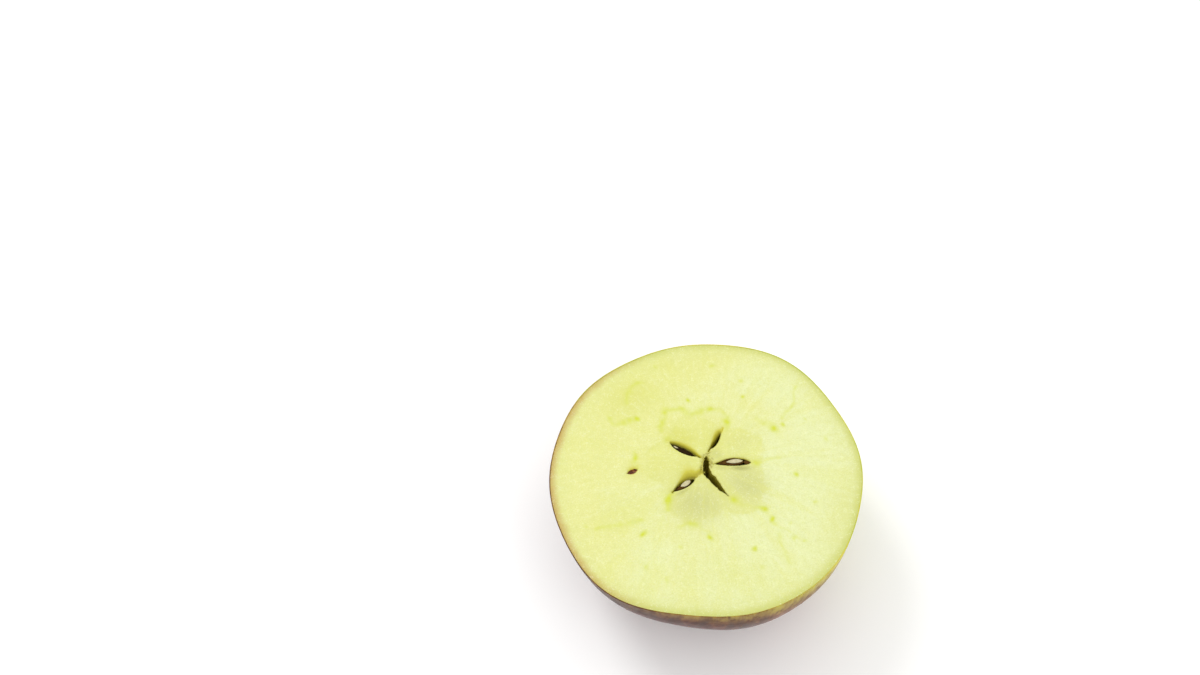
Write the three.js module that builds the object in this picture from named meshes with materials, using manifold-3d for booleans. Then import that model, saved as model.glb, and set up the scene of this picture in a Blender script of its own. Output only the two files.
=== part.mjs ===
// The lower half of an apple that was cut straight across its middle. It rests on the five lobes
// round its calyx basin, with the cut face up and the star of its core open.
// Millimetres, +Z up, origin under the middle of the half on the surface that it stands on.
import * as THREE from "three";
import { mergeVertices } from "three/addons/utils/BufferGeometryUtils.js";
import Module from "manifold-3d";

// Bowl: radius of the cut face, depth below it before the calyx basin is pressed in, and how full
// the flanks are (2 would be an ellipse).
const FACE_RADIUS = 39.05;
const BOWL_DEPTH = 34;
const FLANK_POWER = 2.3;

// The fruit is not quite round: waves of the outline, each with a count round the edge, a height in
// millimetres and the direction of one of its crests in degrees.
const OUTLINE_WAVES = [
  { count: 2, height: 1.1, crest: 35 },
  { count: 3, height: 0.2, crest: -43 },
  { count: 4, height: 0.4, crest: 50 },
  { count: 5, height: 0.2, crest: 5 },
  { count: 6, height: 0.2, crest: -3 },
  { count: 8, height: 0.2, crest: 8 },
];

// Measured from the core's middle on the cut face: the middle of the face, and the calyx.
const FACE_MIDDLE = new THREE.Vector2(-0.3, -2.4);
const CALYX = new THREE.Vector2(2.4, -1.9);

// Calyx basin and the lobes round it.
const BASIN_DEPTH = 9;
const BASIN_RADIUS = 9;
const LOBE_COUNT = 5;
const LOBE_HEIGHT = 0.6;
const LOBE_RING = 17; // distance of their crests from the axis
const LOBE_CREST = 20;
const FOOT_FLAT = 0.35; // cut off the lowest lobes, where the half rests

// Hollows of the cut face: the pith's pit, the five seed chambers from their inner to their outer
// tip, and a small brown pit in the flesh, all measured from the middle of the core. widest is
// where along it the hollow is widest, bow is how far it stands there to the left of the straight
// line outwards, and flare is how far its mouth leans open, to the left when positive.
const HOLLOWS = {
  pith: { from: [-0.1, 1.4], to: [-0.1, -1.6], bow: 0, width: 1.6, widest: 0.5, flare: 0, depth: 5 },
  right: { from: [2.2, -0.6], to: [11.1, -0.2], bow: 0.4, width: 2.4, widest: 0.6, flare: 0, depth: 7.5 },
  upper_right: { from: [1.2, 4], to: [4.7, 9.7], bow: -0.2, width: 0.9, widest: 0.4, flare: 0.5, depth: 6 },
  upper_left: { from: [-2.9, 1.9], to: [-8.9, 5.5], bow: 0.3, width: 1.9, widest: 0.45, flare: -0.7, depth: 7.5 },
  lower_left: { from: [-2.5, -3.7], to: [-8.8, -8.2], bow: 0, width: 2.2, widest: 0.4, flare: -1, depth: 7.5 },
  lower_right: { from: [0.1, 1.5], to: [5, -9.7], bow: -2, width: 1.4, widest: 0.35, flare: 0.3, depth: 6.5 },
  brown_pit: { from: [-17.6, -2.3], to: [-20, -3.2], bow: 0, width: 1.2, widest: 0.5, flare: 0, depth: 1 },
};
const LENS_POINTEDNESS = 1.6; // 1 gives hollows and seeds blunt tips, 2 sharp ones
const CUTTER_RISE = 2; // how far a hollow's cutter stands above the cut face
const FLARE_DEPTH = 0.3; // share of the depth where a leaning mouth has become the plain hollow

// Seeds, with the same measures as the hollows; top is how far below the cut face they start.
const SEEDS = {
  seed_right: { from: [3.4, -0.4], to: [9.3, 0], bow: 0.2, width: 1.7, widest: 0.55, depth: 6.2, top: 0.05 },
  seed_right_small: { from: [9.6, -0.1], to: [10.8, -0.2], bow: 0, width: 0.9, widest: 0.5, depth: 2.4, top: 0.05 },
  seed_lower_left: { from: [-4.2, -5.3], to: [-8, -7.8], bow: 0, width: 1.3, widest: 0.4, depth: 5.8, top: 0.1 },
  seed_upper_left: { from: [-3.9, 2.5], to: [-8.2, 4.9], bow: 0.2, width: 1.1, widest: 0.5, depth: 6, top: 0.5 },
};

// How finely the surfaces are divided.
const AROUND = 96;
const DOWN = 26;
const LENS_STEPS = 10;
const LENS_LEVELS = 6;

const MATERIALS = {
  flesh: new THREE.MeshStandardMaterial({ color: 0xe9eba6, roughness: 0.45, metalness: 0 }),
  seedCoat: new THREE.MeshStandardMaterial({ color: 0x4a2412, roughness: 0.35, metalness: 0 }),
};

const wasm = await Module();
wasm.setup();

// Closed surface through rings of equally many points, listed from the bottom up and turning
// anticlockwise. Point i of an end ring is joined across to point n - i.
function loft(rings) {
  const n = rings[0].length;
  const index = [];
  const quad = (a, b, c, d) => index.push(a, b, c, a, c, d);
  for (let k = 0; k + 1 < rings.length; k += 1) {
    for (let i = 0; i < n; i += 1) {
      const j = (i + 1) % n;
      quad(k * n + i, k * n + j, (k + 1) * n + j, (k + 1) * n + i);
    }
  }
  const top = (rings.length - 1) * n;
  for (let i = 0; i < n / 2; i += 1) {
    const across = (n - i) % n;
    quad(i, across, n - i - 1, i + 1);
    quad(top + i, top + i + 1, top + n - i - 1, top + across);
  }
  return new THREE.BufferGeometry().setFromPoints(rings.flat()).setIndex(index);
}

// A closed geometry as a solid that can be cut: vertices merged, collapsed triangles dropped.
function solidOf(geometry) {
  const merged = mergeVertices(geometry);
  const corners = merged.index.array;
  const kept = [];
  for (let i = 0; i < corners.length; i += 3) {
    const [a, b, c] = corners.subarray(i, i + 3);
    if (a !== b && b !== c && c !== a) kept.push(a, b, c);
  }
  const vertProperties = merged.attributes.position.array;
  return new wasm.Manifold(new wasm.Mesh({ numProp: 3, vertProperties, triVerts: new Uint32Array(kept) }));
}

function geometryOf(solid) {
  const { vertProperties, triVerts } = solid.getMesh();
  const position = new THREE.BufferAttribute(new Float32Array(vertProperties), 3);
  const geometry = new THREE.BufferGeometry().setAttribute("position", position);
  geometry.setIndex(new THREE.BufferAttribute(new Uint32Array(triVerts), 1));
  geometry.computeVertexNormals();
  return geometry;
}

// Radius of the outline in one direction, with its waves at a share of their height.
function outlineRadius(angle, share) {
  return OUTLINE_WAVES.reduce(
    (radius, { count, height, crest }) =>
      radius + share * height * Math.cos(count * (angle - THREE.MathUtils.degToRad(crest))),
    FACE_RADIUS,
  );
}

// A point of the peel, from the cut edge (dip 0) down to the middle of the basin (dip 90 degrees),
// with z measured from the cut face.
function peelPoint(angle, dip) {
  const level = Math.cos(dip);
  const reach = level ** (2 / FLANK_POWER) * outlineRadius(angle, level ** 2);
  const basin = BASIN_DEPTH * Math.exp(-((reach / BASIN_RADIUS) ** 2));
  const ringShare = (reach / LOBE_RING) ** 2;
  const lobeSwell = (ringShare * Math.exp(1 - ringShare)) ** 2;
  const lobeWave = Math.cos(LOBE_COUNT * (angle - THREE.MathUtils.degToRad(LOBE_CREST)));
  const bowl = BOWL_DEPTH * Math.sin(dip) ** (2 / FLANK_POWER);
  const depth = bowl - basin + LOBE_HEIGHT * lobeWave * lobeSwell;
  const middle = FACE_MIDDLE.clone().lerp(CALYX, Math.sin(dip));
  return new THREE.Vector3(
    middle.x + reach * Math.cos(angle),
    middle.y + reach * Math.sin(angle),
    -depth,
  );
}

// The bowl's rings, moved up so that the lowest lobes end in flats at z = 0.
function bowlRings() {
  const rings = [];
  for (let k = DOWN; k >= 0; k -= 1) {
    const dip = (Math.PI / 2) * (k / DOWN);
    const ring = [];
    for (let i = 0; i < AROUND; i += 1) ring.push(peelPoint((2 * Math.PI * i) / AROUND, dip));
    rings.push(ring);
  }
  const lowest = Math.min(...rings.flat().map((point) => point.z));
  for (const point of rings.flat()) point.z = Math.max(point.z - lowest - FOOT_FLAT, 0);
  return rings;
}

// One lens-shaped ring of a hollow or seed at a height, scaled about its middle. spread moves
// its left edge out when positive, and its right edge when negative.
function lensRing({ from, to, bow, width, widest }, height, scale, spread = 0) {
  const start = new THREE.Vector2(...from);
  const run = new THREE.Vector2(...to).sub(start);
  const left = new THREE.Vector2(-run.y, run.x).normalize();
  const swell = (t) =>
    ((t / widest) ** widest * ((1 - t) / (1 - widest)) ** (1 - widest)) ** LENS_POINTEDNESS;
  const edge = (t, side) => {
    const along = 0.5 + (t - 0.5) * scale;
    const half = (width / 2) * scale + Math.max(spread * side, 0);
    const offset = bow * swell(along) + side * half * swell(t);
    const point = start.clone().addScaledVector(run, along).addScaledVector(left, offset);
    return new THREE.Vector3(point.x, point.y, height);
  };
  const ring = [];
  for (let i = 0; i < LENS_STEPS; i += 1) ring.push(edge(i / LENS_STEPS, -1));
  for (let i = LENS_STEPS; i > 0; i -= 1) ring.push(edge(i / LENS_STEPS, 1));
  return ring;
}

// Rings of the rounded lower part of a hollow or seed, from its deep end up to the given height.
function keelRings(lens, top, depth) {
  const rings = [];
  for (let k = 1; k <= LENS_LEVELS; k += 1) {
    const rise = k / LENS_LEVELS;
    rings.push(lensRing(lens, top - depth * (1 - rise) ** 1.3, Math.sin((Math.PI / 2) * rise) ** 0.8));
  }
  return rings;
}

function hollowCutter(hollow, cutHeight) {
  const shoulder = hollow.depth * FLARE_DEPTH;
  return loft([
    ...keelRings(hollow, cutHeight - shoulder, hollow.depth - shoulder),
    lensRing(hollow, cutHeight, 1, hollow.flare),
    lensRing(hollow, cutHeight + CUTTER_RISE, 1, hollow.flare),
  ]);
}

function namedMesh(name, geometry, material) {
  const mesh = new THREE.Mesh(geometry, material);
  mesh.name = name;
  return mesh;
}

// Body: the bowl with the hollows cut out of its face.
const rings = bowlRings();
const cutHeight = rings.at(-1)[0].z;
let body = solidOf(loft(rings));
for (const hollow of Object.values(HOLLOWS)) {
  body = body.subtract(solidOf(hollowCutter(hollow, cutHeight)));
}

const half = new THREE.Group();
half.add(namedMesh("apple_half", geometryOf(body), MATERIALS.flesh));
for (const [name, seed] of Object.entries(SEEDS)) {
  const geometry = geometryOf(solidOf(loft(keelRings(seed, cutHeight - seed.top, seed.depth))));
  half.add(namedMesh(name, geometry, MATERIALS.seedCoat));
}

// The frame's origin is under the middle of the half.
const middle = new THREE.Box3().setFromObject(half).getCenter(new THREE.Vector3());
half.position.set(-middle.x, -middle.y, 0);

export default half;
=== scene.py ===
import math
import random
import bpy
import mathutils
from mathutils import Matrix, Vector, kdtree, noise
from mathutils.geometry import delaunay_2d_cdt


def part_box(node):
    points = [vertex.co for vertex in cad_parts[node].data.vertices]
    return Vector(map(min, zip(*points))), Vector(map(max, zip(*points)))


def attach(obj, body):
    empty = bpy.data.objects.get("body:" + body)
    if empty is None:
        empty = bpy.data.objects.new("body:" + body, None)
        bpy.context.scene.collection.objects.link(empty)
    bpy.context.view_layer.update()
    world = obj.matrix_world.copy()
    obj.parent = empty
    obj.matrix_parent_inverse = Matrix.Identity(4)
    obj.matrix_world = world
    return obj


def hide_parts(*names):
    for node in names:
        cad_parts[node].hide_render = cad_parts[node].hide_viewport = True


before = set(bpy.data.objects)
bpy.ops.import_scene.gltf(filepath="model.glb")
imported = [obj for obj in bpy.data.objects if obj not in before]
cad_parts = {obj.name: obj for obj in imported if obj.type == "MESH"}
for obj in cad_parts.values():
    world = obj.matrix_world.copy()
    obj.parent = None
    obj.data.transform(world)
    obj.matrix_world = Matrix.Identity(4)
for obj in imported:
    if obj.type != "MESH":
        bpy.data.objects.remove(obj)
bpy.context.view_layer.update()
mm = 0.001
scene = bpy.context.scene
bodyLow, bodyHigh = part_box("apple_half")
cutHeight = bodyHigh.z  # the cut face lies at this height


def linkOrSet(tree, socket, value):
    if isinstance(value, bpy.types.NodeSocket):
        tree.links.new(value, socket)
    else:
        socket.default_value = value


def addMath(tree, operation, *values):
    node = tree.nodes.new("ShaderNodeMath")
    node.operation = operation
    for socket, value in zip(node.inputs, values):
        linkOrSet(tree, socket, value)
    return node.outputs[0]


def addScaled(tree, first, second, factor):
    return addMath(tree, "ADD", first, addMath(tree, "MULTIPLY", second, factor))


def swing(tree, cloud, size):
    # A noise value as a change of up to half the size, up or down.
    return addMath(tree, "MULTIPLY", addMath(tree, "SUBTRACT", cloud, 0.5), size)


def addVector(tree, operation, first, second=None, factor=None):
    node = tree.nodes.new("ShaderNodeVectorMath")
    node.operation = operation
    linkOrSet(tree, node.inputs[0], first)
    if second is not None:
        linkOrSet(tree, node.inputs[1], second)
    if factor is not None:
        linkOrSet(tree, node.inputs["Scale"], factor)
    return node.outputs["Value" if operation in ("LENGTH", "DISTANCE", "DOT_PRODUCT") else "Vector"]


def addNode(tree, kind, values=None, **settings):
    node = tree.nodes.new(kind)
    for name, value in settings.items():
        setattr(node, name, value)
    for name, value in (values or {}).items():
        linkOrSet(tree, node.inputs[name], value)
    return node


def mixColour(tree, factor, low, high, blend="MIX"):
    node = tree.nodes.new("ShaderNodeMix")
    node.data_type = "RGBA"
    node.blend_type = blend
    linkOrSet(tree, node.inputs[0], factor)
    linkOrSet(tree, node.inputs[6], low)
    linkOrSet(tree, node.inputs[7], high)
    return node.outputs[2]


def positionParts(tree):
    position = tree.nodes.new("GeometryNodeInputPosition").outputs[0]
    return addNode(tree, "ShaderNodeSeparateXYZ", {0: position}).outputs


def finishTree(tree, result, geometry, material):
    realized = addNode(tree, "GeometryNodeRealizeInstances", {"Geometry": geometry})
    finished = addNode(tree, "GeometryNodeSetMaterial",
                       {"Geometry": realized.outputs[0], "Material": material})
    tree.links.new(finished.outputs[0], result[0])


def mapRange(tree, value, fromLow, fromHigh, toLow=0.0, toHigh=1.0, kind="SMOOTHSTEP"):
    node = addNode(tree, "ShaderNodeMapRange", interpolation_type=kind)
    for socket, number in zip(node.inputs, (value, fromLow, fromHigh, toLow, toHigh)):
        linkOrSet(tree, socket, number)
    return node.outputs[0]


def noiseOf(tree, vector, scale, detail=3.0, roughness=0.5, distortion=0.0):
    values = {"Vector": vector, "Scale": scale, "Detail": detail, "Roughness": roughness,
              "Distortion": distortion}
    return addNode(tree, "ShaderNodeTexNoise", values, noise_dimensions="3D").outputs["Fac"]


def colour(red, green, blue):
    # Base colours are written as sRGB values from 0 to 255.
    linear = [
        c / 255 / 12.92 if c <= 10 else ((c / 255 + 0.055) / 1.055) ** 2.4 for c in (red, green, blue)
    ]
    return (*linear, 1.0)


def treeWithInputs(name, kind, inputs, outputs):
    tree = bpy.data.node_groups.new(name, kind)
    for socketName, socketKind in inputs.items():
        tree.interface.new_socket(socketName, in_out="INPUT", socket_type="NodeSocket" + socketKind)
    for socketName, socketKind in outputs.items():
        tree.interface.new_socket(socketName, in_out="OUTPUT", socket_type="NodeSocket" + socketKind)
    return tree, tree.nodes.new("NodeGroupInput").outputs, tree.nodes.new("NodeGroupOutput").inputs


def growMesh(name, tree, values, source=None):
    # Runs a Geometry Nodes tree on a mesh and keeps the result as a plain mesh.
    carrier = bpy.data.objects.new(name, source or bpy.data.meshes.new(name + "Source"))
    scene.collection.objects.link(carrier)
    modifier = carrier.modifiers.new("grow", "NODES")
    modifier.node_group = tree
    for item in tree.interface.items_tree:
        if item.item_type == "SOCKET" and item.in_out == "INPUT" and item.name in values:
            modifier[item.identifier] = values[item.name]
    graph = bpy.context.evaluated_depsgraph_get()
    made = bpy.data.meshes.new_from_object(carrier.evaluated_get(graph), preserve_all_data_layers=True,
                                           depsgraph=graph)
    carrier.modifiers.remove(modifier)
    bpy.data.objects.remove(carrier)
    made.name = name
    return made


def meshFrom(name, points, faces, materials=(), materialIds=None):
    mesh = bpy.data.meshes.new(name)
    mesh.from_pydata([tuple(p) for p in points], [], faces)
    for material in materials:
        mesh.materials.append(material)
    if materialIds:
        mesh.polygons.foreach_set("material_index", materialIds)
    mesh.update()
    return mesh


def addPiece(name, mesh, smooth=True, sharpFrom=None):
    mesh.polygons.foreach_set("use_smooth", [smooth] * len(mesh.polygons))
    if sharpFrom is not None:
        mesh.set_sharp_from_angle(angle=math.radians(sharpFrom))
    piece = bpy.data.objects.new(name, mesh)
    scene.collection.objects.link(piece)
    return piece


def setAttribute(mesh, name, values):
    layer = mesh.attributes.new(name, "FLOAT", "POINT")
    layer.data.foreach_set("value", values)


view = {
    "lens": 30.0,
    "sensor": 36.0,
    "tilt": 54.8,  # degrees below the horizon
    "fromCore": (-26.94 * mm, -120.19 * mm, 224.8 * mm),
}

fruit = {
    "faceRadius": 39.05,
    "bowlDepth": 34.0,
    "flankPower": 2.3,
    "waves": [(2, 1.1, 35), (3, 0.2, -43), (4, 0.4, 50), (5, 0.2, 5), (6, 0.2, -3), (8, 0.2, 8)],
    "faceMiddle": (-0.3, -2.4),
    # direction and millimetres: leaner or fuller below the edge
    "flankSwells": [(216, -1.6), (286, 0.75)],
    "calyx": (2.4, -1.9),
    "basinDepth": 9.0,
    "basinRadius": 9.0,
    "lobeCount": 5,
    "lobeHeight": 0.6,
    "lobeRing": 17.0,
    "lobeCrest": 20.0,
    "peelThickness": 0.24,
    "fleshInset": 0.15,
    "unevenness": 0.0025,  # share of the radius
}


def makeBowlTree():
    tree, given, result = treeWithInputs(
        "fruitBowl",
        "GeometryNodeTree",
        {
            "Around": "Int", "Down": "Int", "Face Radius": "Float", "Bowl Depth": "Float",
            "Flank Power": "Float", "Face Middle": "Vector", "Calyx": "Vector", "Basin Depth": "Float",
            "Basin Radius": "Float", "Lobe Count": "Float", "Lobe Height": "Float", "Lobe Ring": "Float",
            "Lobe Crest": "Float", "Inset": "Float", "Unevenness": "Float", "Cut Height": "Float",
            "Material": "Material",
        },
        {"Geometry": "Geometry"},
    )

    def m(operation, *values):
        return addMath(tree, operation, *values)

    grid = addNode(tree, "GeometryNodeMeshGrid", {
        "Size X": 1.0, "Size Y": 1.0,
        "Vertices X": m("ADD", given["Around"], 1.0), "Vertices Y": m("ADD", given["Down"], 1.0),
    })
    place = positionParts(tree)
    angle = m("MULTIPLY", m("ADD", place[0], 0.5), 2 * math.pi)
    share = m("SUBTRACT", 0.5, place[1])  # 0 at the cut edge, 1 in the basin
    dip = m("MULTIPLY", share, math.pi / 2)
    level = m("MAXIMUM", m("COSINE", dip), 0.0)
    depthShare = m("SINE", dip)
    flank = m("DIVIDE", 2.0, given["Flank Power"])
    radius = given["Face Radius"]
    for count, height, crest in fruit["waves"]:
        turned = m("MULTIPLY", m("SUBTRACT", angle, math.radians(crest)), float(count))
        wave = m("MULTIPLY", m("COSINE", turned), height * mm)
        radius = m("ADD", radius, m("MULTIPLY", m("POWER", level, 2.0), wave))
    direction = addNode(tree, "ShaderNodeCombineXYZ", {
        0: m("MULTIPLY", m("COSINE", angle), level), 1: m("MULTIPLY", m("SINE", angle), level),
        2: depthShare,
    }).outputs[0]
    bumpiness = m("SUBTRACT", noiseOf(tree, direction, 3.2, 2.0), 0.5)
    uneven = m("MULTIPLY", m("MULTIPLY", bumpiness, given["Unevenness"]), m("MULTIPLY", depthShare, 8.0))
    levelPower = m("POWER", level, flank)
    reach = m("MULTIPLY", m("MULTIPLY", levelPower, radius), m("ADD", 1.0, uneven))
    belly = m("POWER", m("MAXIMUM", m("SINE", m("MULTIPLY", share, math.pi)), 0.0), 0.7)
    for way, height in fruit["flankSwells"]:
        facing = m("MAXIMUM", m("COSINE", m("SUBTRACT", angle, math.radians(way))), 0.0)
        swollen = m("MULTIPLY", m("MULTIPLY", m("POWER", facing, 4.0), belly), height * mm)
        reach = m("ADD", reach, swollen)
    basinShare = m("POWER", m("DIVIDE", reach, given["Basin Radius"]), 2.0)
    basin = m("MULTIPLY", given["Basin Depth"], m("EXPONENT", m("MULTIPLY", basinShare, -1.0)))
    ringShare = m("POWER", m("DIVIDE", reach, given["Lobe Ring"]), 2.0)
    swell = m("POWER", m("MULTIPLY", ringShare, m("EXPONENT", m("SUBTRACT", 1.0, ringShare))), 2.0)
    lobeTurn = m("MULTIPLY", m("SUBTRACT", angle, given["Lobe Crest"]), given["Lobe Count"])
    lobes = m("MULTIPLY", m("MULTIPLY", given["Lobe Height"], m("COSINE", lobeTurn)), swell)
    bowl = m("MULTIPLY", given["Bowl Depth"], m("POWER", depthShare, flank))
    depth = m("ADD", m("SUBTRACT", bowl, basin), lobes)
    height = m("MAXIMUM", m("SUBTRACT", given["Cut Height"], depth), 0.0)
    height = m("ADD", height, m("MULTIPLY", given["Inset"], m("POWER", depthShare, flank)))
    reach = m("SUBTRACT", reach, m("MULTIPLY", given["Inset"], levelPower))
    middle = addNode(tree, "ShaderNodeMix", data_type="VECTOR")
    linkOrSet(tree, middle.inputs[0], depthShare)
    linkOrSet(tree, middle.inputs[4], given["Face Middle"])
    linkOrSet(tree, middle.inputs[5], given["Calyx"])
    around = addNode(tree, "ShaderNodeCombineXYZ", {
        0: m("MULTIPLY", reach, m("COSINE", angle)), 1: m("MULTIPLY", reach, m("SINE", angle)), 2: height,
    })
    target = addVector(tree, "ADD", middle.outputs[1], around.outputs[0])
    moved = addNode(tree, "GeometryNodeSetPosition", {"Geometry": grid.outputs[0], "Position": target})
    merged = addNode(tree, "GeometryNodeMergeByDistance",
                     {"Geometry": moved.outputs[0], "Distance": 0.01 * mm})
    finishTree(tree, result, merged.outputs[0], given["Material"])
    return tree


def bowlValues(around, down, inset, material):
    return {
        "Around": around, "Down": down, "Face Radius": fruit["faceRadius"] * mm,
        "Bowl Depth": fruit["bowlDepth"] * mm, "Flank Power": fruit["flankPower"],
        "Face Middle": Vector((*fruit["faceMiddle"], 0)) * mm, "Calyx": Vector((*fruit["calyx"], 0)) * mm,
        "Basin Depth": fruit["basinDepth"] * mm, "Basin Radius": fruit["basinRadius"] * mm,
        "Lobe Count": float(fruit["lobeCount"]), "Lobe Height": fruit["lobeHeight"] * mm,
        "Lobe Ring": fruit["lobeRing"] * mm, "Lobe Crest": math.radians(fruit["lobeCrest"]),
        "Inset": inset * mm, "Unevenness": fruit["unevenness"], "Cut Height": cutHeight,
        "Material": material,
    }


def outlineRadius(angle):
    radius = fruit["faceRadius"]
    for count, height, crest in fruit["waves"]:
        radius += height * math.cos(count * (angle - math.radians(crest)))
    return radius


def rimDistance(x, y):
    # How far inside the outline a point of the cut face lies, in millimetres from the core's middle.
    dx, dy = x - fruit["faceMiddle"][0], y - fruit["faceMiddle"][1]
    return outlineRadius(math.atan2(dy, dx)) - math.hypot(dx, dy)


lensPointedness = 1.6


def lensSwell(t, widest):
    t = min(max(t, 0.0), 1.0)
    return ((t / widest) ** widest * ((1 - t) / (1 - widest)) ** (1 - widest)) ** lensPointedness


def pathPlace(path, t):
    # Place and width, as one vector, at share t of a smooth path of (x, y, width).
    spans = len(path) - 1
    k = min(int(t * spans), spans - 1)
    u = t * spans - k
    a, b, c, d = (Vector(path[min(max(k + i, 0), spans)]) for i in (-1, 0, 1, 2))
    bend = (2 * a - 5 * b + 4 * c - d) * u * u
    return 0.5 * (2 * b + (c - a) * u + bend + (3 * b - a - 3 * c + d) * u ** 3)


def lensRing(lens, scale=1.0, spread=0.0, inset=0.0, steps=36, waver=0.0, ragged=0.0):
    # Ring of (x, y) in millimetres, anticlockwise from the lens's first tip.
    start, end = Vector(lens["from"]), Vector(lens["to"])
    run = end - start
    left = Vector((-run.y, run.x)).normalized()
    tip = inset / run.length
    ring = []
    for i in range(2 * steps):
        side = -1 if i < steps else 1
        t = i / steps if i < steps else (2 * steps - i) / steps
        t = 0.5 - 0.5 * math.cos(math.pi * t) * (0.65 + 0.35 * math.cos(math.pi * t) ** 2)
        swell = lensSwell(t, lens["widest"])
        along = 0.5 + (t - 0.5) * scale * (1 - 2 * tip * 1.6)
        half = lens["width"] / 2 * scale + max(spread * side, 0.0)
        half = max(half - inset, 0.02) * swell
        if "path" in lens:
            spot = pathPlace(lens["path"], along)
            ahead = pathPlace(lens["path"], min(along + 0.02, 1))
            behind = pathPlace(lens["path"], max(along - 0.02, 0))
            way = (ahead - behind).xy
            left = Vector((-way.y, way.x)).normalized()
            swell = min(t * 14, (1 - t) * 4, 1) ** 0.6
            half = max(spot.z / 2 * scale + max(spread * side, 0.0), 0.02) * swell
            point = spot.xy + left * side * half
        else:
            offset = lens["bow"] * lensSwell(along, lens["widest"]) + side * half
            point = start + run * along + left * offset
        if waver:
            wander = noise.noise(Vector((point.x * 1.3, point.y * 1.3, lens["width"])))
            fray = noise.noise(Vector((point.x * 4.5, point.y * 4.5, 7.7)))
            point += left * ((waver * wander + ragged * fray) * min(swell * 2, 1))
        ring.append(point)
    return ring


hollows = {
    # flare: how far the mouth leans open to the left (or right, when negative) of the line outwards;
    # slope: reach, depth, place along it, side and tone of the soft dip in the face beside it, the tone an
    # olive tint that darkens towards the hollow as painted shade;
    # dark: how much painted shade darkens the walls below the mouth
    "right": {"from": (2.0, -0.6), "to": (11.2, -0.2), "bow": 0.35, "width": 2.1, "widest": 0.6,
              "flare": 0, "depth": 7.5, "ragged": 0.06,
              "slope": (0.35, 0.2, 0.6, 1, 0.35), "dark": 0.6},
    "upperRight": {"from": (1.25, 3.9), "to": (4.35, 8.7), "bow": -0.3, "width": 0.8, "widest": 0.4,
                   "flare": 0.3, "depth": 6, "ragged": 0.06,
                   "slope": (1.1, 1.1, 0.95, 1, 0.9), "dark": 0.25},
    "upperLeft": {"from": (-2.2, 1.7), "to": (-8.95, 5.5), "bow": 0.3, "width": 1.5, "widest": 0.52,
                  "flare": -0.25, "depth": 7.5, "ragged": 0.08,
                  "slope": (0.85, 1.0, 0.5, -1, 1.05), "dark": 0.8},
    "lowerLeft": {"from": (-3.2, -4.5), "to": (-8.65, -8.2), "bow": 0.1, "width": 1.5, "widest": 0.4,
                  "flare": -0.25, "depth": 7.5, "ragged": 0.06, "slope": (2.6, 1.2, -0.15, -1, 0.85),
                  "dark": 0.5},
    "lowerRight": {"from": (0.1, 1.6), "to": (4.95, -9.6), "bow": 0, "width": 1.8, "widest": 0.35,
                   "flare": 0.1, "depth": 6.5, "ragged": 0.2,
                   "slope": (0.5, 0.0, 0.7, 1, 0.0), "dark": 0.3,
                   "path": [(0.12, 1.6, 0.95), (-0.11, -0.54, 1.45), (0.0, -3.12, 1.85), (1.6, -5.4, 1.65),
                            (3.05, -7.5, 1.15), (4.95, -9.6, 0.35)]},
    "brownPit": {"from": (-17.5, -2.2), "to": (-20.1, -3.3), "bow": 0, "width": 1.25, "widest": 0.5,
                 "flare": 0, "depth": 0.8, "ragged": 0.14,
                 "slope": (1.0, 0.2, 0.3, -1, 0.3), "dark": 0},
}

# soft dips of the face with no hollow of their own: chain of points, width, depth and tone (the same olive
# tint with painted shade as beside the hollows)
dips = [
    ([(-1.2, -2.5), (-2.6, -3.2), (-4.4, -3.9)], 0.85, 0.5, 0.5),
    ([(4.4, 8.8), (4.9, 9.9)], 0.3, 0.4, 0.55),
]

cutFace = {
    "spacing": 0.4,  # mm between the points of the cut face
    "rowShare": 0.866,  # distance between its rows, as a share of the spacing
    "reach": 42,  # half the side of the square that the points fill
    "rimRings": (0.16, 0.4, 0.75, 1.15),  # mm inside the edge
    "rimSpacing": 0.22,
    "rimSlack": 0.05,  # how far below the cut the points of the edge may lie
    "mouthRings": (0.1, 0.24, 0.45),  # mm outside the hollows' mouths
    "mouthClear": 0.6,  # nearer to a mouth than this there are only the rings
    "mouthSearch": 2.5,  # further from every mouth than this, no point is inside a hollow
    "waver": 0.12,
    "wallLevels": 16,
    "leanShare": 0.3,  # share of a hollow's depth in which its mouth leans open
    "lipDrop": 0.12,
    "lipReach": 0.3,
    "edgeDrop": 0.09,
    "edgeReach": 0.5,
    "knifeWaves": 0.035,
    "wallWrinkle": 0.05,
}


def insideRing(x, y, ring):
    inside = False
    for a, b in zip(ring, ring[1:] + ring[:1]):
        if (a.y > y) != (b.y > y) and x < (b.x - a.x) * (y - a.y) / (b.y - a.y) + a.x:
            inside = not inside
    return inside


def chainDistance(p, chain):
    best = 1e9
    for a, b in zip(chain, chain[1:]):
        a, b = Vector(a), Vector(b)
        run = b - a
        t = min(max((p - a).dot(run) / run.length_squared, 0), 1)
        best = min(best, (p - a - run * t).length)
    return best


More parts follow.
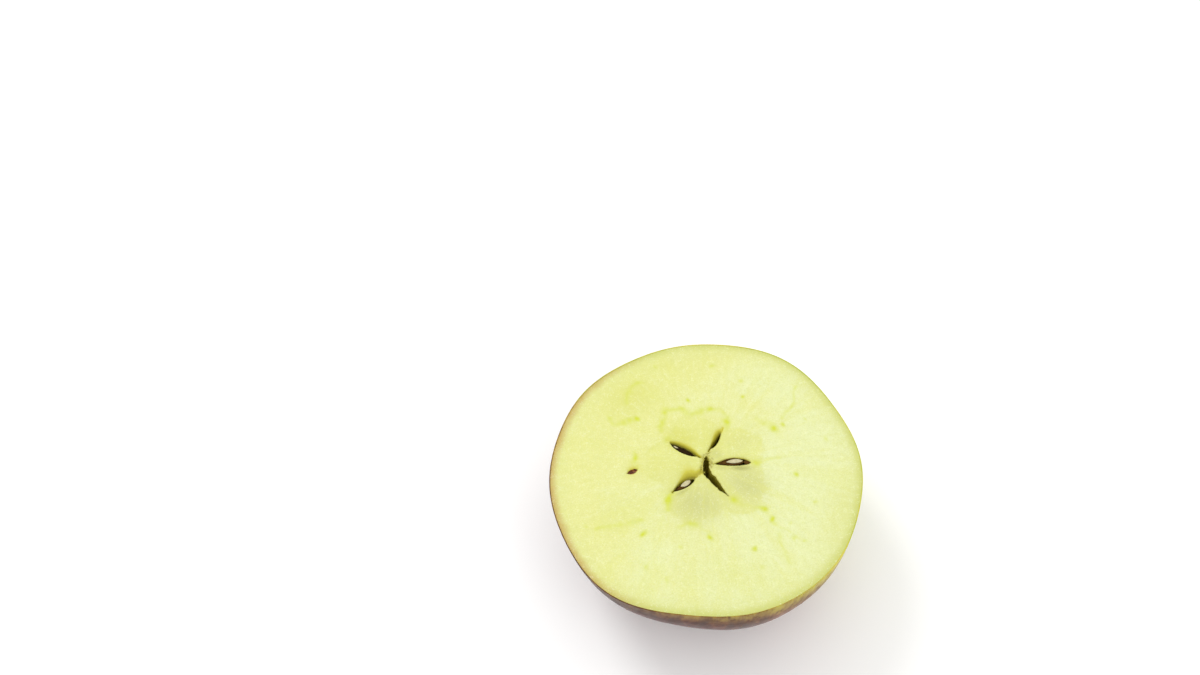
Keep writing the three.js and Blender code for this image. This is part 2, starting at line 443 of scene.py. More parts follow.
def slopeShares(p):
    # How much each hollow's soft slope takes part at a point of the face: (share, depth, tone).
    shares = []
    for hollow in hollows.values():
        reach, depth, widestAt, side, tone = hollow["slope"]
        start, run = Vector(hollow["from"]), Vector(hollow["to"]) - Vector(hollow["from"])
        left = Vector((-run.y, run.x)).normalized()
        t = (p - start).dot(run) / run.length_squared
        middle = hollow["bow"] * lensSwell(t, hollow["widest"])
        half = hollow["width"] / 2 * lensSwell(t, hollow["widest"])
        off = ((p - start).dot(left) - middle) * side
        ends = math.exp(-((t - 0.45) / 0.68) ** 6)
        wide = max(reach * math.exp(-((t - widestAt) / 0.65) ** 2), 0.18)
        if off < -half:
            shares.append((0.3 * ends * math.exp(-((off + half) / 0.2) ** 2), depth, tone * 0.5))
        else:
            shares.append((ends * math.exp(-(max(off - half, 0) / wide) ** 1.6), depth, tone))
    for chain, width, depth, tone in dips:
        shares.append((math.exp(-(chainDistance(p, chain) / width) ** 2), depth, tone))
    return shares


def faceHeight(x, y, mouthDistance, edgeDistance):
    # Height over the level cut face, in millimetres.
    drop = cutFace["lipDrop"] * math.exp(-(mouthDistance / cutFace["lipReach"]) ** 2)
    drop += cutFace["edgeDrop"] * math.exp(-max(edgeDistance, 0) / cutFace["edgeReach"])
    drop += max(share * depth for share, depth, _ in slopeShares(Vector((x, y))))
    slow = noise.noise(Vector((x / 9, y / 6, 0.3)))
    strokes = noise.noise(Vector((x / 14 + y / 40, y / 1.3 - x / 5, 4.1)))
    return cutFace["knifeWaves"] * (slow + 0.35 * strokes) - drop


def makeFlesh(bowl, core, *materials):
    # Joins the bowl's inner surface, the cut face and the walls of the hollows to one closed body.
    points = [v.co.copy() for v in bowl.vertices]
    faces = [tuple(p.vertices) for p in bowl.polygons]
    rim = [i for i, p in enumerate(points) if p.z > cutHeight - cutFace["rimSlack"] * mm]
    centre = core.xy + Vector(fruit["faceMiddle"]) * mm
    rim.sort(key=lambda i: math.atan2(points[i].y - centre.y, points[i].x - centre.x))
    flat = [(points[i].xy - core.xy) / mm for i in rim]
    edges = [(i, (i + 1) % len(flat)) for i in range(len(flat))]

    mouths = {}
    for name, hollow in hollows.items():
        ring = lensRing(hollow, spread=hollow["flare"], waver=cutFace["waver"], ragged=hollow["ragged"])
        mouths[name] = (len(flat), ring)
        edges += [(len(flat) + i, len(flat) + (i + 1) % len(ring)) for i in range(len(ring))]
        flat += ring
    mouthPoints = [p for _, ring in mouths.values() for p in ring]
    tree = kdtree.KDTree(len(mouthPoints))
    for i, p in enumerate(mouthPoints):
        tree.insert((p.x, p.y, 0), i)
    tree.balance()

    def mouthDistance(p):
        return tree.find((p.x, p.y, 0))[2]

    def inHollow(p):
        return any(insideRing(p.x, p.y, ring) for _, ring in mouths.values())

    for depth in cutFace["rimRings"]:
        count = round(2 * math.pi * (fruit["faceRadius"] - depth) / (cutFace["rimSpacing"] + depth * 0.3))
        for i in range(count):
            angle = 2 * math.pi * i / count
            reach = outlineRadius(angle) - fruit["fleshInset"] - depth
            flat.append(Vector(fruit["faceMiddle"]) + Vector((math.cos(angle), math.sin(angle))) * reach)
    for _, ring in mouths.values():
        for gap in cutFace["mouthRings"]:
            for i, p in enumerate(ring):
                tangent = (ring[(i + 1) % len(ring)] - ring[i - 1]).normalized()
                moved = p + Vector((tangent.y, -tangent.x)) * gap
                if abs(mouthDistance(moved) - gap) < 0.3 * gap and not inHollow(moved):
                    flat.append(moved)
    step, reach, search = cutFace["spacing"], cutFace["reach"], cutFace["mouthSearch"]
    for row in range(int(2 * reach / (step * cutFace["rowShare"]))):
        y = -reach + fruit["faceMiddle"][1] + row * step * cutFace["rowShare"]
        for column in range(int(2 * reach / step)):
            x = -reach + fruit["faceMiddle"][0] + (column + 0.5 * (row % 2)) * step
            if rimDistance(x, y) < cutFace["rimRings"][-1] + fruit["fleshInset"] + 0.25:
                continue
            p = Vector((x, y))
            near = mouthDistance(p)
            if near < cutFace["mouthClear"] or (near < search and inHollow(p)):
                continue
            flat.append(p)
    made = delaunay_2d_cdt(flat, edges, [], 1, 1e-5, False)
    if len(made[0]) != len(flat):
        raise ValueError("points of the cut face coincide")

    fineIndex = list(rim)
    for i in range(len(rim), len(flat)):
        fineIndex.append(len(points))
        points.append(None)
        p = flat[i]
        z = faceHeight(p.x, p.y, mouthDistance(p), rimDistance(p.x, p.y) - fruit["fleshInset"])
        points[-1] = Vector((core.x + p.x * mm, core.y + p.y * mm, cutHeight + z * mm))
    for corners in made[2]:
        middle = sum((flat[i] for i in corners), Vector((0, 0))) / 3
        if mouthDistance(middle) < search and inHollow(middle):
            continue
        faces.append(tuple(fineIndex[i] for i in corners))
    materialIds = [0] * len(faces)
    depthShares, wallShadeShares = {}, {}

    for name, (first, ring) in mouths.items():
        hollow = hollows[name]
        above = [fineIndex[first + i] for i in range(len(ring))]
        mouthHeights = [points[i].z for i in above]
        shoulder = hollow["depth"] * cutFace["leanShare"]
        for k in range(1, cutFace["wallLevels"] + 1):
            drop = k / cutFace["wallLevels"]
            depth = hollow["depth"] * drop ** 1.7
            spread = hollow["flare"] * max(1 - depth / shoulder, 0.0) ** 1.3
            sunk = max(depth - shoulder, 0.0) / (hollow["depth"] - shoulder)
            scale = max(1 - sunk ** 1.6, 0.0) ** 0.55 if k < cutFace["wallLevels"] else 0.06
            fray = hollow["ragged"] * max(1 - depth / 1.5, 0.0)
            level = lensRing(hollow, scale=scale, spread=spread, waver=cutFace["waver"] * (1 - sunk),
                             ragged=fray)
            below = []
            for i, p in enumerate(level):
                tangent = (level[(i + 1) % len(level)] - level[i - 1]).normalized()
                wrinkle = noise.noise(Vector((p.x * 0.9, p.y * 0.9, depth * 2.2)))
                wrinkle *= cutFace["wallWrinkle"]
                wrinkle *= min(depth * 3, 1.0) * min(scale * 2, 1)
                p = p + Vector((tangent.y, -tangent.x)) * wrinkle
                below.append(len(points))
                settle = max(1 - depth / 2.0, 0.0)
                z = cutHeight - depth * mm + (mouthHeights[i] - cutHeight) * settle
                points.append(Vector((core.x + p.x * mm, core.y + p.y * mm, z)))
                depthShares[below[-1]] = depth / hollow["depth"]
                wallShadeShares[below[-1]] = hollow["dark"]
            n = len(below)
            for i in range(n):
                j = (i + 1) % n
                faces.append((above[i], below[i], below[j], above[j]))
            above = below
        for i in range(n // 2):
            corners = [above[i], above[i + 1], above[n - i - 1], above[(n - i) % n]]
            faces.append(tuple(dict.fromkeys(corners)))
        materialIds += [2 if name == "brownPit" else 1] * (len(faces) - len(materialIds))

    mesh = meshFrom("fleshBody", points, faces, materials, materialIds)
    mesh.validate()
    rimValues, mouthValues = [], []
    for v in mesh.vertices:
        x, y = (v.co.x - core.x) / mm, (v.co.y - core.y) / mm
        rimValues.append(rimDistance(x, y))
        mouthValues.append(min(mouthDistance(Vector((x, y))), 5.0))
    setAttribute(mesh, "rimDistance", rimValues)
    setAttribute(mesh, "mouthDistance", mouthValues)
    setAttribute(mesh, "depthShare", [depthShares.get(i, 0.0) for i in range(len(mesh.vertices))])
    setAttribute(mesh, "dark", [wallShadeShares.get(i, 0.0) for i in range(len(mesh.vertices))])
    for attribute, values in markValues(mesh, core).items():
        setAttribute(mesh, attribute, values)
    return mesh


marks = {
    # measured places on the cut face, from the core's middle: x, y, radius in mm and strength
    "bundles": [
        (-3.9, 18.4, 0.75, 1.0), (10.7, 19.1, 0.75, 1.0), (10.9, 24.5, 0.7, 0.5), (3.4, 29.3, 0.7, 0.5),
        (-11.9, 28.8, 0.6, 0.4), (20.3, 10.8, 0.7, 0.9), (17.4, 9.6, 1.0, 0.7), (21.9, -3.0, 0.8, 0.9),
        (26.3, 11.8, 0.6, 0.4), (31.2, 6.5, 0.6, 0.4), (26.7, -11.0, 0.6, 0.5), (14.9, -15.9, 0.75, 1.0),
        (12.9, -13.2, 1.0, 0.8), (19.7, -16.5, 0.5, 0.4), (19.7, -20.6, 0.6, 0.5), (22.6, -21.7, 0.5, 0.4),
        (9.5, -23.5, 0.75, 1.0), (-0.7, -20.6, 0.8, 1.0), (-16.6, -19.7, 0.85, 0.9),
        (-16.1, -28.3, 0.9, 0.4),
        (-10.9, -31.7, 0.8, 0.35), (11.5, -28.3, 0.6, 0.3), (-7.8, -22.7, 0.6, 0.4),
        (-10.1, -10.8, 1.2, 0.7),
        (-18.3, 1.6, 0.9, 0.6), (-17.4, 12.2, 0.8, 1.0), (-30.2, -17.4, 0.6, 0.4), (12.6, 0.0, 1.2, 0.45),
        (5.5, 11.4, 0.9, 0.7), (6.4, -11.0, 1.2, 0.7), (-9.6, 6.4, 1.2, 0.4), (-4.5, -17.4, 1.2, 0.3),
    ],
    "coreRadius": 12.4,
    "coreLobe": 3.4,
    "coreLean": (1.9, 285),  # how much further the lobes reach in one direction, and that direction
    "lobeWay": 33,  # direction of one of the core's lobes, in degrees
    "reachDown": 2.5,  # mm below the cut that the marks still colour
    # x, y, half width, half height, turn in degrees and strength of greyer patches, some of them painted
    # shadows below the right and lower left seeds
    "greysAndShadows": [
        (8.4, -1.8, 2.8, 0.8, 0, 0.95), (9.5, -6.0, 5.5, 4.6, -35, 0.32), (-3.0, -11.5, 6.5, 5.5, 0, 0.32),
        (2.6, 2.2, 1.7, 1.5, 0, 0.4), (-6.2, -8.3, 2.4, 0.6, 35, 0.7), (9.0, 6.0, 5.0, 3.0, 30, 0.12),
        (4.0, -1.6, 2.4, 1.0, 0, 0.35),
    ],
    # the same for yellower patches
    "stains": [
        (-19.0, 19.0, 9.0, 6.0, 30, 0.55), (-6.0, 7.0, 5.0, 3.2, -25, 0.75), (0.5, 9.0, 7.0, 5.0, 0, 0.25),
        (-27.0, 9.0, 6.0, 12.0, 0, 0.15), (-9.0, 29.0, 12.0, 5.0, 15, 0.25),
        (-21.5, -14.0, 8.0, 5.0, 20, 0.25),
        (-14.0, -2.0, 5.0, 5.0, 0, 0.25), (-5.0, -2.2, 4.5, 3.2, 20, 0.45), (0.5, 5.5, 3.5, 3.5, 0, 0.4),
        (4.0, -30.0, 10.0, 5.0, 0, 0.2), (31.5, -14.0, 4.0, 10.0, -20, 0.3),
    ],
    # brownish threads between the pith and the hollows
    "threads": [
        ([(-2.2, 1.7), (-1.3, 1.3), (-0.5, 1.2)], 0.35, 0.5),
        ([(-3.2, -4.4), (-2.2, -3.6), (-1.1, -2.6)], 0.6, 0.5),
        ([(1.2, 3.9), (0.8, 2.9), (0.5, 1.9)], 0.45, 0.55),
        ([(2.1, -0.6), (1.4, -0.7), (0.8, -0.6)], 0.28, 0.9),
        ([(0.5, 2.0), (1.1, 1.3), (1.5, 0.5), (1.2, -0.2), (1.5, -0.9), (1.1, -1.6)], 0.3, 0.85),
        ([(-0.5, 1.8), (-0.9, 0.9), (-1.2, 0.2), (-1.0, -0.8), (-1.5, -1.6), (-1.3, -2.8)], 0.35, 0.75),
        ([(0.1, 2.2), (0.9, 2.4), (0.7, 3.1)], 0.3, 0.8),
        ([(0.9, 0.8), (0.75, -0.2), (0.95, -1.2)], 0.25, 0.7),
    ],
    # chains of points with a width and strength: the core's upper outline and faint strokes
    "strokes": [
        ([(-10.8, 9.2), (-10.6, 13.8), (-9.7, 15.2), (-6.0, 15.1), (-3.0, 14.4), (1.4, 15.4)], 0.75, 0.65),
        ([(1.4, 15.4), (5.3, 15.0), (6.3, 12.5), (5.2, 10.2)], 0.85, 0.4),
        ([(-19.6, 17.6), (-20.0, 20.0), (-18.0, 22.2), (-16.0, 23.4)], 0.6, 0.5),
        ([(-24.8, 12.9), (-22.6, 11.3), (-17.4, 12.1)], 0.65, 0.6),
        ([(-28.0, -18.8), (-22.5, -17.8), (-16.8, -15.9)], 0.65, 0.45),
        ([(25.1, 22.4), (23.9, 17.2), (20.6, 13.2)], 0.6, 0.45),
        ([(14.0, 12.6), (16.7, 10.6), (18.7, 9.0)], 0.8, 0.4),
        ([(-18.4, 2.8), (-18.6, 0.2), (-17.0, -1.4)], 0.7, 0.5),
        ([(5.2, -10.0), (7.5, -12.0), (12.7, -13.2), (15.7, -16.5)], 0.75, 0.18),
        ([(15.6, -16.9), (19.4, -19.5), (23.2, -21.7)], 0.5, 0.3),
        ([(16.2, -19.5), (17.3, -23.8), (18.6, -26.8)], 0.45, 0.3),
        ([(-8.6, -8.6), (-10.2, -9.8), (-10.4, -13.4)], 0.7, 0.6),
        ([(-7.9, -17.8), (-3.9, -17.4), (0.0, -19.5)], 0.5, 0.35),
        ([(11.4, -0.4), (14.8, 0.4), (18.5, 1.2)], 0.6, 0.3),
    ],
}


def markValues(mesh, core):
    # Masks of the cut face: vein (bundles and strokes), coreMask (inside the core's five lobes),
    # coreLine (their outline), slope (the soft sides of the hollows, olive with painted shade), shade and
    # stain (greyer flesh with painted shadows below the seeds, yellower).
    masks = {"vein": [], "thread": [], "coreMask": [], "coreLine": [], "slope": [], "shade": [], "stain": []}
    for v in mesh.vertices:
        p = (v.co.xy - core.xy) / mm
        if v.co.z < cutHeight - marks["reachDown"] * mm:
            for values in masks.values():
                values.append(0.0)
            continue
        wobble = Vector([noise.noise(Vector((p.x, p.y, layer)) * 0.25) for layer in (4, 9)])
        q = p + wobble * 1.1
        broken = 0.85 + 0.8 * noise.noise(Vector((p.x * 0.8, p.y * 0.8, 5)))
        vein, thread = 0.0, 0.0
        for x, y, radius, strength in marks["bundles"]:
            apart = math.hypot(q.x - x, q.y - y) / (0.85 * radius)
            if apart < 3:
                vein += 1.2 * strength * math.exp(-apart * apart)
        for chain, width, strength in marks["strokes"]:
            apart = chainDistance(q, chain) / width
            if apart < 3:
                vein += strength * broken * math.exp(-apart * apart)
        for chain, width, strength in marks["threads"] if p.length < 8 else ():
            thread = max(thread, strength * math.exp(-(chainDistance(p, chain) / width) ** 2))
        angle = math.atan2(p.y, p.x)
        lobes = abs(math.cos(2.5 * (angle - math.radians(marks["lobeWay"]))))
        lean, leanWay = marks["coreLean"]
        edge = marks["coreRadius"] + marks["coreLobe"] * lobes + 1.2 * wobble.x
        edge += lean * math.cos(angle - math.radians(leanWay))
        inward = edge - p.length
        masks["vein"].append(min(max(vein, 0.0), 1.0))
        masks["thread"].append(thread)
        masks["coreMask"].append(1 / (1 + math.exp(-inward / 0.7)))
        masks["coreLine"].append(math.exp(-(inward / 0.75) ** 2))
        masks["slope"].append(max(share * tone for share, _, tone in slopeShares(p)))
        for mask, patches in (("shade", marks["greysAndShadows"]), ("stain", marks["stains"])):
            most = 0.0
            for x, y, wide, tall, turn, strength in patches:
                away = p - Vector((x, y))
                away.rotate(mathutils.Matrix.Rotation(-math.radians(turn), 2))
                most = max(most, strength * math.exp(-(away.x / wide) ** 2 - (away.y / tall) ** 2))
            masks[mask].append(most)
    return masks


def newMaterial(name):
    material = bpy.data.materials.new(name)
    material.use_nodes = True
    tree = material.node_tree
    shader = tree.nodes["Principled BSDF"]
    coordinates = tree.nodes.new("ShaderNodeTexCoord").outputs["Object"]
    return material, tree, shader, coordinates


def attributeOf(tree, name):
    return addNode(tree, "ShaderNodeAttribute", attribute_name=name).outputs["Fac"]


def addBump(tree, shader, height, distance, strength=1.0):
    bump = addNode(tree, "ShaderNodeBump", {"Height": height, "Distance": distance, "Strength": strength})
    tree.links.new(bump.outputs[0], shader.inputs["Normal"])


def makeGrainGroup():
    # Cells of the fruit's flesh: a fine mottling and its relief.
    tree, given, result = treeWithInputs(
        "fleshGrain", "ShaderNodeTree", {"Vector": "Vector", "Cell Size": "Float"},
        {"Mottle": "Float", "Relief": "Float"},
    )
    scale = addMath(tree, "DIVIDE", 1.0, given["Cell Size"])
    cells = addNode(tree, "ShaderNodeTexVoronoi",
                    {"Vector": given["Vector"], "Scale": scale, "Randomness": 1.0})
    cloud = noiseOf(tree, given["Vector"], addMath(tree, "MULTIPLY", scale, 0.45), 3.0, 0.6)
    fine = noiseOf(tree, given["Vector"], addMath(tree, "MULTIPLY", scale, 1.8), 2.0, 0.6)
    mottle = addScaled(tree, addMath(tree, "MULTIPLY", cloud, 0.4), fine, 0.6)
    relief = addMath(tree, "SUBTRACT", fine, addMath(tree, "MULTIPLY", cells.outputs["Distance"], 0.6))
    tree.links.new(mottle, result["Mottle"])
    tree.links.new(relief, result["Relief"])
    return tree


fleshLook = {
    "cellSize": 0.6,  # mm
    "paleWay": (0.8, -0.45, 0.0),  # the flesh is palest on this side
    "deepSide": (217, 218, 144), "paleSide": (218, 223, 166),
    "coreFront": (210, 212, 133), "coreBack": (214, 216, 132), "coreLine": (202, 205, 104),
    # shade: greyer flesh, and the painted shadow below the seeds
    "stain": (202, 203, 92), "shade": (152, 152, 92), "vein": (198, 206, 46),
    "fineRay": (206, 208, 116), "wideRay": (212, 214, 118), "brightRay": (232, 236, 196),
    "dullCell": (200, 203, 118), "brightCell": (238, 241, 200),
    "nearRim": (204, 207, 128), "rimBrown": (184, 152, 74), "rimGreen": (194, 198, 108),
    "halo": (198, 198, 92), "mouthStain": (172, 166, 66), "thread": (138, 126, 36),
    # olive tint beside the hollows, darkening as painted shade towards them
    "slopeTintAndShadeRamp": [(0.0, (218, 216, 116)), (0.3, (200, 194, 68)), (0.65, (172, 163, 30)),
                  (0.95, (92, 84, 20))],
}


def makeFleshMaterial(grainGroup, core):
    look = fleshLook
    material, tree, shader, at = newMaterial("fleshCut")
    fromCore = addVector(tree, "SUBTRACT", at, tuple(core))
    grain = addNode(tree, "ShaderNodeGroup", node_tree=grainGroup)
    linkOrSet(tree, grain.inputs["Vector"], at)
    grain.inputs["Cell Size"].default_value = look["cellSize"] * mm
    mottle = grain.outputs["Mottle"]
    side = addNode(tree, "ShaderNodeSeparateXYZ", {0: fromCore})
    broad = noiseOf(tree, at, 85.0, 3.0, 0.55)
    patch = noiseOf(tree, at, 300.0, 3.0, 0.6)
    # fibres of the flesh, which run outwards from the core
    flat = addNode(tree, "ShaderNodeCombineXYZ", {0: side.outputs[0], 1: side.outputs[1], 2: 0.0}).outputs[0]
    aim = addVector(tree, "NORMALIZE", flat)
    away = addVector(tree, "LENGTH", flat)
    aimParts = addNode(tree, "ShaderNodeSeparateXYZ", {0: aim})
    rayPlace = addNode(tree, "ShaderNodeCombineXYZ", {
        0: aimParts.outputs[0], 1: aimParts.outputs[1], 2: addMath(tree, "MULTIPLY", away, 7.0),
    }).outputs[0]
    rays = noiseOf(tree, rayPlace, 24.0, 3.0, 0.65, 0.3)
    wideRays = noiseOf(tree, rayPlace, 7.0, 2.0, 0.5, 0.4)
    towardPale = addVector(tree, "DOT_PRODUCT", fromCore, look["paleWay"])
    across = addMath(tree, "ADD", towardPale, swing(tree, broad, 0.06))
    tone = mixColour(tree, mapRange(tree, across, -0.02, 0.02), colour(*look["deepSide"]),
                     colour(*look["paleSide"]))
    inside = mapRange(tree, addMath(tree, "ADD", attributeOf(tree, "coreMask"), patch), 0.75, 1.4, 0.0, 0.8)
    coreTone = mixColour(tree, mapRange(tree, side.outputs[1], -0.006, 0.003), colour(*look["coreFront"]),
                         colour(*look["coreBack"]))
    coreTone = mixColour(tree, inside, tone, coreTone)
    coreTone = mixColour(tree, attributeOf(tree, "stain"), coreTone, colour(*look["stain"]))
    # greyer flesh, and painted shadow below the right and lower left seeds
    greyedAndShadowed = mixColour(tree, attributeOf(tree, "shade"), coreTone, colour(*look["shade"]))
    line = addMath(tree, "MULTIPLY", attributeOf(tree, "coreLine"),
                   mapRange(tree, patch, 0.42, 0.66, 0.0, 0.35))
    lined = mixColour(tree, line, greyedAndShadowed, colour(*look["coreLine"]))
    rayed = mixColour(tree, mapRange(tree, rays, 0.3, 0.5, 0.16, 0.0), lined, colour(*look["fineRay"]))
    rayed = mixColour(tree, mapRange(tree, wideRays, 0.35, 0.55, 0.25, 0.0), rayed, colour(*look["wideRay"]))
    rayed = mixColour(tree, mapRange(tree, rays, 0.52, 0.72, 0.0, 0.14), rayed, colour(*look["brightRay"]))
    rim = addScaled(tree, attributeOf(tree, "rimDistance"), patch, 1.4)
    broadRim = mixColour(tree, mapRange(tree, rim, 0.5, 7.5, 0.5, 0.0), rayed, colour(*look["nearRim"]))
    rimTone = mixColour(tree, mapRange(tree, side.outputs[0], -0.036, -0.010), colour(*look["rimBrown"]),
                        colour(*look["rimGreen"]))
    edged = mixColour(tree, mapRange(tree, rim, 0.7, 3.4, 0.95, 0.0), broadRim, rimTone)
    mottled = mixColour(tree, mapRange(tree, mottle, 0.36, 0.52, 0.3, 0.0), edged, colour(*look["dullCell"]))
    bright = mixColour(tree, mapRange(tree, mottle, 0.52, 0.7, 0.0, 0.35), mottled,
                       colour(*look["brightCell"]))
    veins = addMath(tree, "MULTIPLY", attributeOf(tree, "vein"),
                    mapRange(tree, mottle, 0.35, 0.6, 0.75, 1.0))
    veined = mixColour(tree, veins, bright, colour(*look["vein"]))
    mouth = attributeOf(tree, "mouthDistance")
    haloed = mixColour(tree, mapRange(tree, mouth, 0.0, 2.4, 0.3, 0.0), veined, colour(*look["halo"]))
    slope = attributeOf(tree, "slope")
    # olive tint, darkening as painted shade into the dip beside each hollow
    slopeTintAndShadeRamp = addNode(tree, "ShaderNodeValToRGB", {
        "Fac": addMath(tree, "ADD", slope, swing(tree, mottle, 0.2)),
    })
    fillRamp(slopeTintAndShadeRamp, look["slopeTintAndShadeRamp"])
    sloped = mixColour(tree, mapRange(tree, slope, 0.02, 0.35), haloed, slopeTintAndShadeRamp.outputs[0])
    torn = mapRange(tree, noiseOf(tree, at, 1100.0, 2.0), 0.4, 0.6, 0.15, 1.0)
    sloped = mixColour(tree, addMath(tree, "MULTIPLY", attributeOf(tree, "thread"), torn), sloped,
                       colour(*look["thread"]))
    stained = mixColour(tree, mapRange(tree, mouth, 0.0, 0.4, 0.45, 0.0), sloped,
                        colour(*look["mouthStain"]))
    tree.links.new(stained, shader.inputs["Base Color"])
    shader.inputs["Subsurface Weight"].default_value = 0.2
    shader.inputs["Subsurface Radius"].default_value = (1.0, 0.85, 0.4)
    shader.inputs["Subsurface Scale"].default_value = 0.7 * mm
    shader.inputs["Specular IOR Level"].default_value = 0.35
    roughness = mapRange(tree, mottle, 0.3, 0.7, 0.38, 0.55)
    tree.links.new(roughness, shader.inputs["Roughness"])
    addBump(tree, shader, grain.outputs["Relief"], 0.07 * mm, 0.9)
    return material


def fillRamp(ramp, stops):
    while len(ramp.color_ramp.elements) < len(stops):
        ramp.color_ramp.elements.new(0.5)
    for element, (position, shade) in zip(ramp.color_ramp.elements, stops):
        element.position = position
        element.color = colour(*shade)


def makeBrownMaterial():
    material, tree, shader, at = newMaterial("brownMark")
    fibre = noiseOf(tree, at, 1500.0, 3.0, 0.6)
    shade = mixColour(tree, mapRange(tree, fibre, 0.35, 0.65), colour(96, 44, 14), colour(168, 104, 42))
    tree.links.new(shade, shader.inputs["Base Color"])
    shader.inputs["Roughness"].default_value = 0.55
    addBump(tree, shader, fibre, 0.05 * mm, 0.7)
    return material


def makeLiningMaterial():
    material, tree, shader, at = newMaterial("chamberLining")
    depth = attributeOf(tree, "depthShare")
    fibre = noiseOf(tree, at, 1800.0, 3.0, 0.6)
    shifted = addMath(tree, "ADD", depth, swing(tree, fibre, 0.12))
    ramp = addNode(tree, "ShaderNodeValToRGB", {"Fac": shifted})
    fillRamp(ramp,
             [(0.0, (168, 160, 60)), (0.12, (172, 162, 50)), (0.35, (170, 158, 46)), (0.8, (150, 138, 40))])
    # painted shade: below the mouth the walls darken, as much as the hollow's dark share
    paintedWallShade = addMath(tree, "MULTIPLY", attributeOf(tree, "dark"), mapRange(tree, shifted, 0.0, 0.09))
    shadedWall = mixColour(tree, paintedWallShade, ramp.outputs[0], colour(70, 64, 12))
    tree.links.new(shadedWall, shader.inputs["Base Color"])
    shader.inputs["Specular IOR Level"].default_value = 0.2
    tree.links.new(mapRange(tree, fibre, 0.3, 0.7, 0.28, 0.45), shader.inputs["Roughness"])
    shader.inputs["Subsurface Weight"].default_value = 0.2
    shader.inputs["Subsurface Radius"].default_value = (1.0, 0.9, 0.3)
    shader.inputs["Subsurface Scale"].default_value = 1.0 * mm
    addBump(tree, shader, fibre, 0.06 * mm, 0.6)
    return material


peelLook = {
    "blushWay": 222,  # direction in which the peel is reddest, in degrees
    "green": (172, 180, 52), "yellow": (204, 194, 66), "wash": (166, 140, 62),
    # near the cut the blush colours are darker and browner than on the flank: partly painted shade of the
    # band under the cut
    "warmShadedTop": (114, 80, 38), "warmFlank": (138, 70, 38),
    "deepShadedTop": (66, 38, 24), "deepFlank": (98, 34, 26), "fleck": (72, 36, 24),
}


def makePeelMaterial(core):
    look = peelLook
    material, tree, shader, at = newMaterial("peelSkin")
    fromCore = addVector(tree, "SUBTRACT", at, tuple(core))
    part = addNode(tree, "ShaderNodeSeparateXYZ", {0: fromCore})
    flat = addNode(tree, "ShaderNodeCombineXYZ", {0: part.outputs[0], 1: part.outputs[1], 2: 0.0}).outputs[0]
    direction = addVector(tree, "NORMALIZE", flat)
    blushTurn = math.radians(look["blushWay"])
    facing = addVector(tree, "DOT_PRODUCT", direction, (math.cos(blushTurn), math.sin(blushTurn), 0.0))
    height = addNode(tree, "ShaderNodeSeparateXYZ", {0: at}).outputs[2]
    lowness = mapRange(tree, height, 0.0, cutHeight, 1.0, 0.0, "LINEAR")
    aim = addNode(tree, "ShaderNodeSeparateXYZ", {0: direction})
    streakPlace = addNode(tree, "ShaderNodeCombineXYZ", {
        0: aim.outputs[0], 1: aim.outputs[1], 2: addMath(tree, "MULTIPLY", height, 7.0),
    }).outputs[0]
    streaks = noiseOf(tree, streakPlace, 13.0, 4.0, 0.6, 0.3)
    threads = noiseOf(tree, streakPlace, 46.0, 4.0, 0.65, 0.2)
    patches = noiseOf(tree, at, 60.0, 4.0, 0.55, 0.5)
    mottles = noiseOf(tree, at, 420.0, 5.0, 0.65)
    edge = addScaled(tree, facing, lowness, 0.35)
    belowRim = mapRange(tree, height, cutHeight - 6 * mm, cutHeight - 0.5 * mm, 0.45, 0.0)
    edge = addMath(tree, "ADD", edge, belowRim)
    outward = addVector(tree, "LENGTH", flat)
    edge = addMath(tree, "SUBTRACT", edge, mapRange(tree, outward, 3 * mm, 15 * mm, 0.6, 0.0))
    for cloud, weight in ((patches, 0.9), (streaks, 1.0), (threads, 0.5), (mottles, 0.12)):
        edge = addMath(tree, "ADD", edge, swing(tree, cloud, weight))
    wash = mapRange(tree, edge, -0.2, 0.55)
    blush = mapRange(tree, edge, 0.3, 0.85)
    deep = mapRange(tree, edge, 0.65, 1.3)
    ground = mixColour(tree, mapRange(tree, patches, 0.35, 0.65), colour(*look["green"]),
                       colour(*look["yellow"]))
    washed = mixColour(tree, wash, ground, colour(*look["wash"]))
    # the blush turns from a browner, darker tone at the rim, partly painted shade of the band under the cut,
    # to red lower down, along an uneven front
    uneven = addScaled(tree, addMath(tree, "MULTIPLY", patches, 22 * mm), streaks, 16 * mm)
    front = addMath(tree, "ADD", height, addMath(tree, "SUBTRACT", uneven, 19 * mm))
    flank = mapRange(tree, front, cutHeight - 17 * mm, cutHeight - 1 * mm, 1.0, 0.0)
    warm = mixColour(tree, flank, colour(*look["warmShadedTop"]), colour(*look["warmFlank"]))
    warm = mixColour(tree, blush, washed, warm)
    dark = mixColour(tree, flank, colour(*look["deepShadedTop"]), colour(*look["deepFlank"]))
    red = mixColour(tree, deep, warm, dark)
    flecks = mapRange(tree, addScaled(tree, mottles, threads, 0.6), 0.8, 1.0)
    fleckShare = addMath(tree, "MULTIPLY", flecks, mapRange(tree, edge, 0.1, 0.8, 0.05, 0.6))
    flecked = mixColour(tree, fleckShare, red, colour(*look["fleck"]))
    tree.links.new(flecked, shader.inputs["Base Color"])
    tree.links.new(mapRange(tree, mottles, 0.3, 0.7, 0.3, 0.42), shader.inputs["Roughness"])
    shader.inputs["Specular IOR Level"].default_value = 0.1
    coat = mapRange(tree, height, cutHeight - 13 * mm, cutHeight - 4 * mm, 0.35, 0.02)
    tree.links.new(coat, shader.inputs["Coat Weight"])
    shader.inputs["Coat Roughness"].default_value = 0.14
    relief = noiseOf(tree, at, 900.0, 3.0, 0.5)
    addBump(tree, shader, relief, 0.02 * mm, 0.5)
    return material


